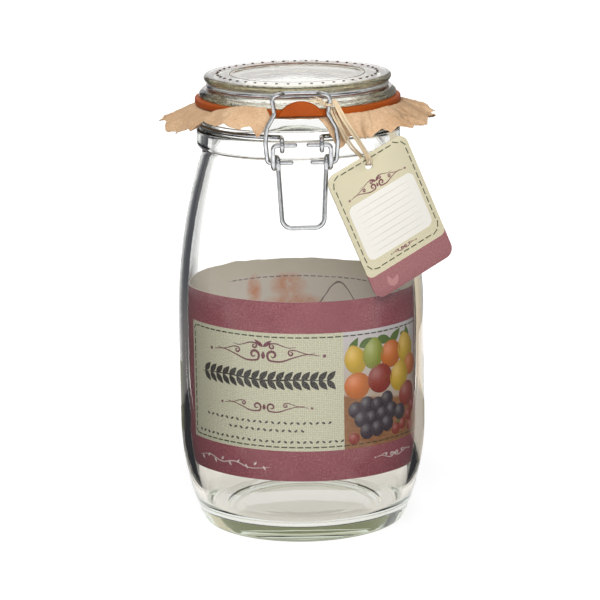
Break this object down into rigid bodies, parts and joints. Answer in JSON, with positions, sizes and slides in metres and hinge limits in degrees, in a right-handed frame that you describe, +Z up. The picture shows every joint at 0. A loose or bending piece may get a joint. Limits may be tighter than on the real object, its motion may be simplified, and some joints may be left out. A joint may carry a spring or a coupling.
{
  "type": "clip-top canning jar",
  "caption": "Barrel-shaped clear glass canning jar with hinged glass lid, orange rubber seal, over-centre wire clip, kraft paper frill, printed paper sleeve and a tied card tag.",
  "frame": {"origin": "on the jar's axis in the plane of the ring that it stands on", "axes": "+Z up along the jar's axis, -Y towards the clip at the front, +Y towards the lid's hinge, +X to the right seen from the front"},
  "size_m": [0.1396, 0.1212, 0.2229],
  "materials": {
    "jar_glass": "clear pressed glass",
    "lid_glass": "clear pressed glass",
    "orange_rubber": "satin",
    "kraft_paper": "mottled kraft paper",
    "printed_paper": "printed paper",
    "clip_wire": "bright drawn wire",
    "tag_card": "linen-embossed card",
    "raffia": "dry raffia fibre"
  },
  "bodies": {
    "jar": {"glass_jar": "jar_glass", "paper_sleeve": "printed_paper", "paper_frill": "kraft_paper", "neck_wire": "clip_wire"},
    "lid": {"glass_lid": "lid_glass", "lid_wire": "clip_wire", "rubber_gasket": "orange_rubber"},
    "lever": {"lever_wire": "clip_wire"},
    "bail": {"bail_wire": "clip_wire", "swing_tag": "tag_card", "raffia_knot": "raffia", "raffia_loop_near": "raffia", "raffia_loop_far": "raffia"}
  },
  "joints": [
    {"name": "lid_hinge", "type": "hinge", "parent": "jar", "child": "lid", "pos_m": [0, 0.0536, 0.2148], "axis": [-1, 0, 0], "range_deg": [0, 105]},
    {"name": "lever_pivot", "type": "hinge", "parent": "jar", "child": "lever", "pos_m": [0, -0.0546, 0.1963], "axis": [-1, 0, 0], "range_deg": [0, 105]},
    {"name": "bail_swing", "type": "hinge", "parent": "lever", "child": "bail", "pos_m": [0, -0.0519, 0.1876], "axis": [-1, 0, 0], "range_deg": [-105, 0]}
  ],
  "couplings": [
    {"joint": "bail_swing", "follows": "lever_pivot", "ratio": -1}
  ]
}
